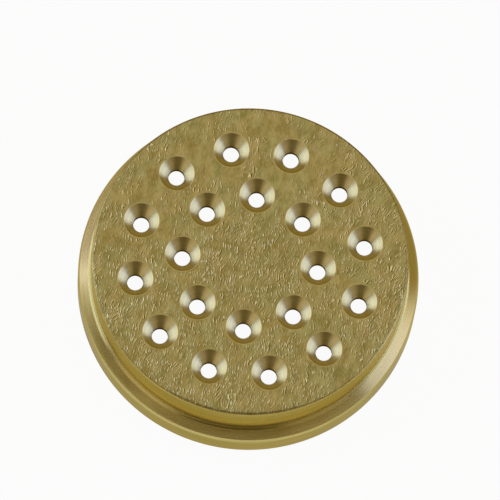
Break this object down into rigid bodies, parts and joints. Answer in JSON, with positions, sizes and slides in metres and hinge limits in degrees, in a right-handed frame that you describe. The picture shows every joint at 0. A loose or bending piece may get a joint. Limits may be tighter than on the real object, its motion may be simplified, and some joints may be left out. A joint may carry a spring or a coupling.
{
  "type": "pasta extrusion die",
  "caption": "Round brass die for a pasta extruder: a stepped, flanged disc with rings of countersunk holes in its inlet face and an open recess on the outlet side.",
  "frame": {"origin": "centre of the die's underside, on the plane that it stands on", "axes": "+Z along the die's axis, from the outlet side up to the inlet face; +X through the first hole of the inner ring"},
  "size_m": [0.059, 0.059, 0.0167],
  "materials": {
    "brass": "satin, finely scratched face with turned walls"
  },
  "bodies": {
    "root": {"pasta_die": "brass"}
  },
  "joints": []
}
